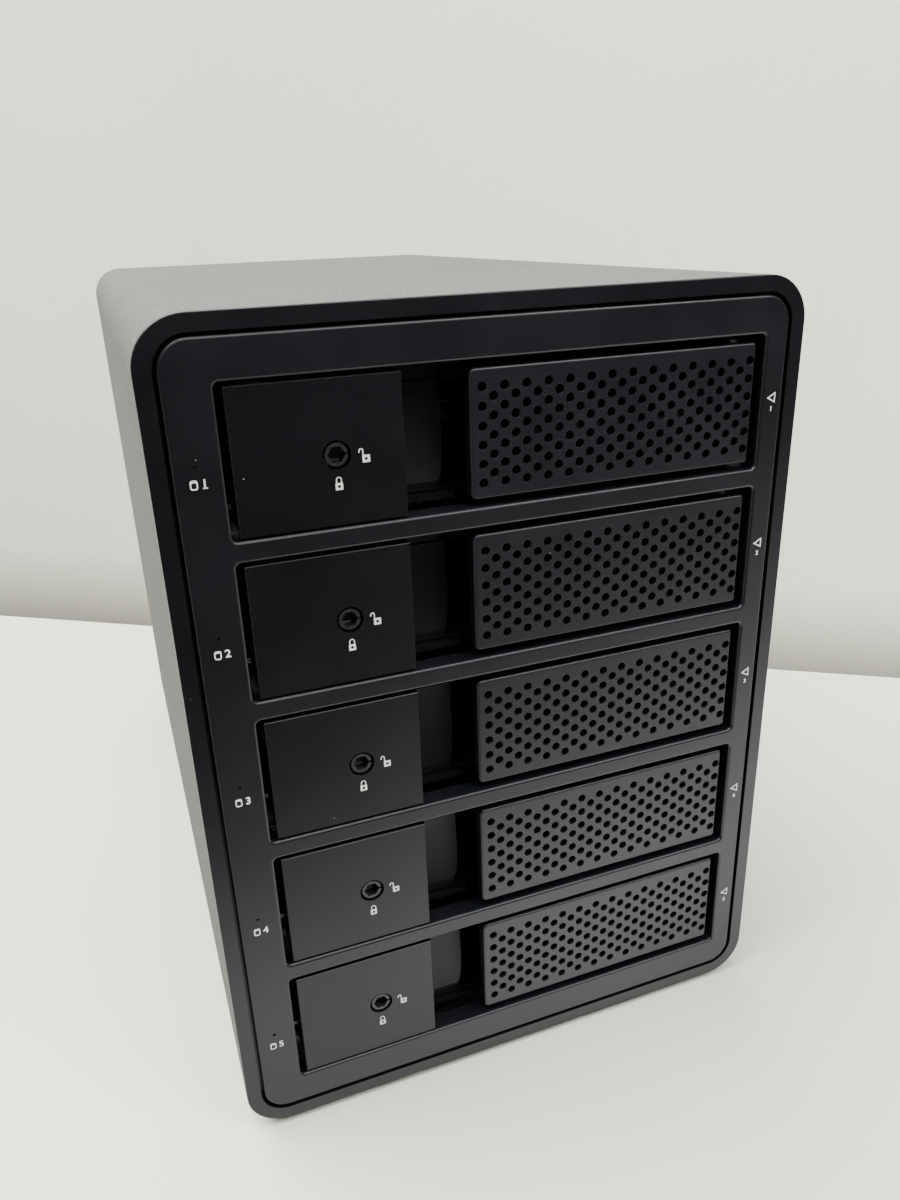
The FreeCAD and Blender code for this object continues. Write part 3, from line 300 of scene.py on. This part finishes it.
MATERIALS = {
    "silver_aluminium": silver_aluminium(),
    "black_rim": satin_black("black_rim", base=0.0028, rough=0.34,
                             grain=0.00035, grain_height=0.000004),
    "black_fascia": satin_black("black_fascia", base=0.0034, rough=0.37,
                                grain=0.00040, grain_height=0.000008),
    "tray_plastic": satin_black("tray_plastic", base=0.0022, rough=0.40,
                                grain=0.00045, grain_height=0.00001, specular=0.34, specks=0.3),
    "tray_face": satin_black("tray_face", base=0.0026, rough=0.35,
                             grain=0.00035, grain_height=0.000004, specular=0.40),
    "handle_black": satin_black("handle_black", base=0.0042, rough=0.38,
                                grain=0.00040, grain_height=0.000012, edge=0.00016),
    "steel": turned_metal("steel", light=0.56, rough=0.32),
    "lock_plastic": moulded("lock_plastic", base=0.016, rough=0.34,
                            grain=0.0003, height=0.00001),
    "galvanised_sheet": sheet_metal("galvanised_sheet", light=0.60, dark=0.42, rough=0.38),
    "black_sheet": moulded("black_sheet", base=0.009, rough=0.44, grain=0.0006, height=0.00004),
    "circuit_board": circuit_board(),
    "clear_plastic": clear_plastic(),
    "connector_plastic": moulded("connector_plastic", base=0.014, rough=0.45),
    "port_metal": turned_metal("port_metal", light=0.62, rough=0.28, axis=0),
    "black_aluminium": moulded("black_aluminium", base=0.03, rough=0.36,
                               grain=0.0004, height=0.00001),
    "fan_plastic": moulded("fan_plastic", base=0.022, rough=0.38),
    "chrome_wire": turned_metal("chrome_wire", light=0.72, rough=0.16),
    "black_screw": turned_metal("black_screw", light=0.06, rough=0.34),
    "wire_cover": moulded("wire_cover", base=0.09, rough=0.45, warm=0.6),
    "foot_rubber": moulded("foot_rubber", base=0.020, rough=0.75, grain=0.0007, height=0.00006),
    "marking_ink": marking_ink(),
}

for part in frame["record"]["subparts"]:
    cad = frame["nodes"][part["node"]]
    finish = MATERIALS[part["material_slot"]]
    if not cad.material_slots:
        cad.data.materials.append(finish)
    for place in cad.material_slots:
        place.material = finish


# --- printed marks --------------------------------------------------------------------------
# all in millimetres
INK = 0.02                # thickness of the print
DIGIT_SHARE = 0.7         # height of a digit as a share of its font size
DIGIT_FATTEN = 0.05       # how far a digit's outline grows
KEYHOLE_R = 0.34
SHUT_DROP = 6.3           # from the lock's axis down to the closed padlock
OPEN_RIGHT = 5.85         # from the lock's axis to the open padlock
OPEN_DROP = 1.35
CAN_INSET = 4.35          # from the fascia's left edge to the drive symbol
CAN_DROP = 2.5
TIP_INSET = 4.9           # from the fascia's right edge to the triangle's tip
TIP_RISE = 1.6


def arc(cx, cz, r, start, end, steps=12):
    """Points on an arc, angles in degrees from +X towards +Z."""
    points = []
    for step in range(steps + 1):
        angle = math.radians(start + (end - start) * step / steps)
        points.append((cx + r * math.cos(angle), cz + r * math.sin(angle)))
    return points


def rounded(cx, cz, wide, tall, r):
    """Outline of a rectangle with round corners."""
    points = []
    for side_x, side_z, start in ((1, 1, 0), (-1, 1, 90), (-1, -1, 180), (1, -1, 270)):
        corner_x = cx + side_x * (wide / 2 - r)
        corner_z = cz + side_z * (tall / 2 - r)
        points += arc(corner_x, corner_z, r, start, start + 90, 5)
    return points


def arch(cx, foot, r_out, r_in, shoulder):
    """Outline of a shackle: two legs from foot up to shoulder, joined by a half ring."""
    outer = [(cx + r_out, foot)] + arc(cx, shoulder, r_out, 0, 180) + [(cx - r_out, foot)]
    inner = [(cx - r_in, foot)] + arc(cx, shoulder, r_in, 180, 0) + [(cx + r_in, foot)]
    return outer + inner


def flat_curve(name, loops):
    """A thin flat shape from closed loops in millimetres; a loop inside another is a hole."""
    curve = bpy.data.curves.new(name, "CURVE")
    curve.dimensions = "2D"
    curve.fill_mode = "BOTH"
    curve.extrude = INK * MM / 2
    for loop in loops:
        spline = curve.splines.new("POLY")
        spline.points.add(len(loop) - 1)
        for point, (x, z) in zip(spline.points, loop):
            point.co = (x * MM, z * MM, 0.0, 1.0)
        spline.use_cyclic_u = True
    return curve


def digit_curve(text, x, z, height):
    """One number and the place of its centre."""
    curve = bpy.data.curves.new("digit", "FONT")
    curve.body = text
    curve.size = height * MM / DIGIT_SHARE
    curve.align_x = "CENTER"
    curve.align_y = "CENTER"
    curve.extrude = INK * MM / 2
    curve.offset = DIGIT_FATTEN * MM
    return curve, (x * MM, z * MM)


def print_marks(name, front, loops_list, digits, body):
    """Joins several marks into one mesh standing on the plane y = front, facing -Y."""
    made = [(flat_curve(name + "_shape", loops), (0.0, 0.0)) for loops in loops_list]
    made += [digit_curve(*digit) for digit in digits]
    points, faces = [], []
    for curve, (x, z) in made:
        holder = bpy.data.objects.new("holder", curve)
        bpy.context.scene.collection.objects.link(holder)
        bpy.context.view_layer.update()
        graph = bpy.context.evaluated_depsgraph_get()
        mesh = bpy.data.meshes.new_from_object(holder.evaluated_get(graph))
        base = len(points)
        for vertex in mesh.vertices:
            points.append((vertex.co.x + x, front - INK * MM / 2 - vertex.co.z, vertex.co.y + z))
        for polygon in mesh.polygons:
            faces.append([base + i for i in polygon.vertices])
        bpy.data.objects.remove(holder)
        bpy.data.curves.remove(curve)
        bpy.data.meshes.remove(mesh)
    mesh = bpy.data.meshes.new(name)
    mesh.from_pydata(points, [], faces)
    mesh.validate()
    mesh.update()
    marks = bpy.data.objects.new(name, mesh)
    bpy.context.scene.collection.objects.link(marks)
    mesh.materials.append(MATERIALS["marking_ink"])
    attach(marks, body)
    return marks


def lock_middle(number):
    """The axis of a tray's lock, as x and z in millimetres."""
    low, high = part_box(f"tray_{number}_lock")
    return (low.x + high.x) / 2 / MM, (low.z + high.z) / 2 / MM


def padlock_body(x, z, wide, tall):
    """A body with its keyhole left out."""
    return [rounded(x, z, wide, tall, 0.1), arc(x, z, KEYHOLE_R, 0, 330, 11)]


def shut_padlock(x, z):
    return [padlock_body(x, z, 1.5, 1.4), [arch(x, z + 0.7, 0.60, 0.40, z + 1.35)]]


def open_padlock(x, z):
    """The shackle stands on the left of the body, with one short free leg."""
    r_out, r_in, free_leg, foot = 0.5, 0.28, 0.35, z + 0.75
    ring_x, ring_z = x - 1.0, z + 1.65
    shackle = [(ring_x + r_out, foot)] + arc(ring_x, ring_z, r_out, 0, 180)
    shackle += [(ring_x - r_out, ring_z - free_leg), (ring_x - r_in, ring_z - free_leg)]
    shackle += arc(ring_x, ring_z, r_in, 180, 0) + [(ring_x + r_in, foot)]
    return [padlock_body(x, z, 1.55, 1.5), [shackle]]


def drive_can(x, z):
    """Outline of a tall can with a round window in it."""
    return [[rounded(x, z, 1.45, 1.9, 0.45), rounded(x, z - 0.12, 0.95, 1.1, 0.22)]]


def outline_triangle(x, z):
    """A hollow triangle with its tip at x and z, pointing left."""
    outer = [(x, z), (x + 2.3, z - 1.25), (x + 2.3, z + 1.25)]
    inner = [(x + 0.62, z), (x + 2.02, z - 0.78), (x + 2.02, z + 0.78)]
    return [[outer, inner]]


for number in TRAYS:
    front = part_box(f"tray_{number}_face")[0].y
    lock_x, lock_z = lock_middle(number)
    padlocks = shut_padlock(lock_x, lock_z - SHUT_DROP)
    padlocks += open_padlock(lock_x + OPEN_RIGHT, lock_z - OPEN_DROP)
    tray_marks = print_marks(f"tray_{number}_marks", front, padlocks, [], f"tray_{number}")

fascia_low, fascia_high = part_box("front_fascia")
for number in TRAYS:
    lock_z = lock_middle(number)[1]
    can_x, can_z = fascia_low.x / MM + CAN_INSET, lock_z - CAN_DROP
    tip_x, tip_z = fascia_high.x / MM - TIP_INSET, lock_z + TIP_RISE
    shapes = drive_can(can_x, can_z)
    if number == 1:
        # a bar under the 1, so that it reads as a 1
        shapes += [[rounded(can_x + 2.05, can_z - 0.76, 0.95, 0.24, 0.05)]]
    shapes += outline_triangle(tip_x, tip_z)
    digits = [(str(number), can_x + 2.0, can_z, 1.7),
              (str(number), tip_x + 1.4, tip_z - 2.6, 1.1)]
    case_marks = print_marks(f"bay_{number}_marks", fascia_low.y, shapes, digits, "case")


# --- floor, light and camera ----------------------------------------------------------------
def sheet_object(name, corners, finish):
    """A flat stage piece from four corners."""
    mesh = bpy.data.meshes.new(name)
    mesh.from_pydata(corners, [], [(0, 1, 2, 3)])
    mesh.materials.append(finish)
    sheet = bpy.data.objects.new(name, mesh)
    bpy.context.scene.collection.objects.link(sheet)
    return sheet


def level_corners(x0, x1, y0, y1, z):
    return [(x0, y0, z), (x1, y0, z), (x1, y1, z), (x0, y1, z)]


def hide_from(sheet, *rays):
    for ray in rays:
        setattr(sheet, "visible_" + ray, False)


def floor_finish():
    make = Maker("floor_finish")
    cloud = make.noise(0.12, 3.0)
    tone = make.mix(make.spread(cloud, 0.3, 0.7), (0.80, 0.795, 0.70), (0.84, 0.835, 0.74))
    return make.set(color=tone, rough=0.7, specular=0.3)


def glow_finish(name, color):
    """A stage surface that only shines. Its strength is linked by the caller."""
    make = Maker(name)
    glow = make.new("Emission")
    out = make.tree.nodes["Material Output"]
    make.tree.nodes.remove(make.shader)
    make.tree.links.new(glow.outputs[0], out.inputs["Surface"])
    make.link(color, glow.inputs["Color"])
    return make, glow


FLOOR_HALF = 3.0
FLOOR_EDGE_Y = cad_low.y - 0.30
floor_paint = floor_finish()
sheet_object("floor", level_corners(-FLOOR_HALF, FLOOR_HALF, FLOOR_EDGE_Y, FLOOR_HALF, cad_low.z),
             floor_paint)
front_floor = sheet_object(
    "floor_front", level_corners(-FLOOR_HALF, FLOOR_HALF, -FLOOR_HALF, FLOOR_EDGE_Y, cad_low.z),
    floor_paint)
hide_from(front_floor, "glossy")       # the table glow takes its place in reflections

GLOW_HALF_FADE = 0.17     # the glow has halved this far before the box
GLOW_CONTACT = 0.055      # width of the darker strip at the foot of the box
GLOW_STRENGTH = 3.9
SHADE_MIDDLE = (-0.165, -0.50)         # the viewer's shade on the table, x and y
SHADE_RADII = (0.285, 0.30)
GLOW_LIFT = 0.0005        # above the floor


def bright_table():
    """What the black front mirrors: the bright table before it. It fades away with distance, is
    darker at the foot of the box and at the right, and is dark at the left, where the viewer's
    shade falls. It is seen in reflections only."""
    make, glow = glow_finish("table_glow", (1.0, 0.995, 0.98))
    x, y, _ = make.axes()

    def squared_radii(axis, middle, radius):
        steps = make.math("DIVIDE", make.math("ADD", axis, -middle), radius)
        return make.math("POWER", make.math("ABSOLUTE", steps), 2.0)

    away = make.math("SUBTRACT", cad_low.y, y)
    steps = make.math("MAXIMUM", make.math("DIVIDE", away, GLOW_HALF_FADE), 0.0)
    fade = make.math("DIVIDE", 1.0, make.math("ADD", make.math("POWER", steps, 3.0), 1.0))
    contact = make.spread(away, 0.0, GLOW_CONTACT, 0.42, 1.0)
    across = squared_radii(x, SHADE_MIDDLE[0], SHADE_RADII[0])
    along = squared_radii(y, SHADE_MIDDLE[1], SHADE_RADII[1])
    ring = make.math("SQRT", make.math("ADD", across, along))
    shade = make.spread(ring, 0.85, 1.4)       # 0 inside the ellipse, 1 outside
    right_fall = make.spread(x, 0.03, 0.12, 1.0, 0.78)
    level = make.math("MULTIPLY", make.math("MULTIPLY", fade, contact), shade)
    level = make.math("MULTIPLY", level, right_fall)
    make.link(make.math("MULTIPLY", level, GLOW_STRENGTH), glow.inputs["Strength"])
    corners = level_corners(-0.7, 1.0, cad_low.y - 0.9, cad_low.y - 0.002, cad_low.z + GLOW_LIFT)
    card = sheet_object("table_glow", corners, make.material)
    hide_from(card, "camera", "diffuse", "shadow", "transmission")


bright_table()

EDGE_CARD_HALF = 0.7
EDGE_CARD_NEAR = (-0.95, 0.62)         # y and z of the lower edge
EDGE_CARD_FAR = (-0.65, 1.02)          # y and z of the upper edge
EDGE_CARD_STRENGTH = 4.0


def edge_card():
    """A card high before the box that puts a fine light line on its rounded front edges.
    It is seen in reflections only."""
    make, glow = glow_finish("edge_glow", (0.97, 0.99, 1.0))
    cloud = make.spread(make.noise(0.3, 1.0), 0.3, 0.7, 0.85, 1.15)
    make.link(make.math("MULTIPLY", cloud, EDGE_CARD_STRENGTH), glow.inputs["Strength"])
    corners = [(-EDGE_CARD_HALF, *EDGE_CARD_NEAR), (EDGE_CARD_HALF, *EDGE_CARD_NEAR),
               (EDGE_CARD_HALF, *EDGE_CARD_FAR), (-EDGE_CARD_HALF, *EDGE_CARD_FAR)]
    card = sheet_object("edge_glow", corners, make.material)
    hide_from(card, "camera", "diffuse", "shadow", "transmission")


edge_card()

WALL_TURN = math.radians(-34.2)
WALL_GAP = 0.002          # behind the box's rear right corner
WALL_HALF = 3.0
WALL_HEIGHT = 3.0
WALL_STRENGTH = 1.62


def back_wall():
    """A pale wall close behind, turned from the box, glowing in place of a lit wall. Its glow has
    painted shade at its foot, where it meets the floor, and painted light that grows upwards and
    towards larger x. Only the camera sees it, and only from its front."""
    make, glow = glow_finish("wall_glow", (1.0, 0.988, 0.80))
    x, _, z = make.axes()
    # painted shade: the glow darkens towards the wall's foot; painted light: it brightens upwards
    # and towards larger x
    painted_foot_shade = make.spread(z, 0.0, 0.045, 0.36, 1.0)
    upwards = make.spread(z, 0.0, 0.5, 0.82, 1.45)
    rise = make.math("ADD", upwards, make.spread(x, 0.0, 0.3, 0.0, 0.22))
    paint = make.spread(make.noise(0.0045, 3.0, 0.6), 0.3, 0.7, 0.985, 1.015)
    broad = make.spread(make.noise(0.16, 2.0), 0.3, 0.7, 0.96, 1.04)
    level = make.math("MULTIPLY", make.math("MULTIPLY", painted_foot_shade, rise),
                      make.math("MULTIPLY", paint, broad))
    make.link(make.math("MULTIPLY", level, WALL_STRENGTH), glow.inputs["Strength"])
    geometry = make.new("NewGeometry")
    clear = make.new("BsdfTransparent")
    pick = make.new("MixShader")
    make.tree.links.new(geometry.outputs["Backfacing"], pick.inputs[0])
    make.tree.links.new(glow.outputs[0], pick.inputs[1])
    make.tree.links.new(clear.outputs[0], pick.inputs[2])
    out = make.tree.nodes["Material Output"]
    make.tree.links.new(pick.outputs[0], out.inputs["Surface"])
    along = Vector((math.cos(WALL_TURN), math.sin(WALL_TURN), 0.0))
    foot = Vector((cad_high.x, cad_high.y, cad_low.z)) + Vector((0.0, WALL_GAP, 0.0))
    left, right = foot - along * WALL_HALF, foot + along * WALL_HALF
    high = Vector((0.0, 0.0, WALL_HEIGHT))
    wall = sheet_object("wall", [left, right, right + high, left + high], make.material)
    hide_from(wall, "diffuse", "glossy", "shadow", "transmission")


back_wall()


AROUND_COLOR = (1.0, 0.995, 0.98)
BACKDROP_COLOR = (1.65, 1.66, 1.58)    # what the camera sees past the floor and the wall


def studio_world():
    """Soft grey surroundings, darker towards the front where the viewer stands."""
    world = bpy.data.worlds.new("studio")
    world.use_nodes = True
    tree = world.node_tree
    tree.nodes.clear()
    place = tree.nodes.new("ShaderNodeTexCoord")
    split = tree.nodes.new("ShaderNodeSeparateXYZ")
    ramp = tree.nodes.new("ShaderNodeMapRange")
    ramp.interpolation_type = "SMOOTHSTEP"
    around = tree.nodes.new("ShaderNodeBackground")
    seen = tree.nodes.new("ShaderNodeBackground")
    path = tree.nodes.new("ShaderNodeLightPath")
    pick = tree.nodes.new("ShaderNodeMixShader")
    out = tree.nodes.new("ShaderNodeOutputWorld")
    link = tree.links.new
    link(place.outputs["Generated"], split.inputs[0])
    link(split.outputs["Y"], ramp.inputs["Value"])
    limits = {"From Min": -0.75, "From Max": 0.15, "To Min": 0.03, "To Max": 0.55}
    for key, number in limits.items():
        ramp.inputs[key].default_value = number
    around.inputs["Color"].default_value = (*AROUND_COLOR, OPAQUE)
    link(ramp.outputs[0], around.inputs["Strength"])
    seen.inputs["Color"].default_value = (*BACKDROP_COLOR, OPAQUE)
    link(path.outputs["Is Camera Ray"], pick.inputs[0])
    link(around.outputs[0], pick.inputs[1])
    link(seen.outputs[0], pick.inputs[2])
    link(pick.outputs[0], out.inputs[0])
    bpy.context.scene.world = world


studio_world()


LAMP_COLOR = (1.0, 0.99, 0.97)


def softbox(name, place, aim, side, power):
    """A square lamp that the camera doesn't see."""
    light = bpy.data.lights.new(name, "AREA")
    light.shape = "RECTANGLE"
    light.size = side
    light.size_y = side
    light.energy = power
    light.color = LAMP_COLOR
    lamp = bpy.data.objects.new(name, light)
    lamp.location = place
    lamp.rotation_mode = "QUATERNION"
    lamp.rotation_quaternion = (Vector(aim) - Vector(place)).to_track_quat("-Z", "Y")
    lamp.visible_camera = False
    bpy.context.scene.collection.objects.link(lamp)


middle = (cad_low + cad_high) / 2
softbox("top_light", (-0.42, 0.15, 1.30), middle, side=1.3, power=72.0)
softbox("front_light", (0.50, -0.75, 1.00), middle, side=0.5, power=13.0)

YAW = math.radians(20.08)
PITCH = math.radians(-22.14)
ROLL = math.radians(-2.10)
FOCAL_LENGTH = 27.83      # mm
SENSOR_WIDTH = 36.0       # mm
CAMERA_LEFT = 0.0784      # of the box's middle
CAMERA_BEFORE = 0.1742    # the box's front
CAMERA_ABOVE = 0.0128     # the box's top


def aim_camera(camera, place):
    """Puts the camera at a place, looking along the yaw, pitch and roll above."""
    forward = Vector((math.sin(YAW) * math.cos(PITCH), math.cos(YAW) * math.cos(PITCH),
                      math.sin(PITCH)))
    level = Vector((math.cos(YAW), -math.sin(YAW), 0.0))
    upright = level.cross(forward)
    right = level * math.cos(ROLL) + upright * math.sin(ROLL)
    up = upright * math.cos(ROLL) - level * math.sin(ROLL)
    turn = Matrix((right, up, -forward)).transposed().to_4x4()
    camera.matrix_world = Matrix.Translation(place) @ turn


lens = bpy.data.cameras.new("camera")
lens.lens = FOCAL_LENGTH
lens.sensor_width = SENSOR_WIDTH
lens.clip_start = 0.01
camera = bpy.data.objects.new("camera", lens)
bpy.context.scene.collection.objects.link(camera)
aim_camera(camera, Vector((middle.x - CAMERA_LEFT, cad_low.y - CAMERA_BEFORE,
                           cad_high.z + CAMERA_ABOVE)))
bpy.context.scene.camera = camera
bpy.context.scene.view_settings.view_transform = "AgX"
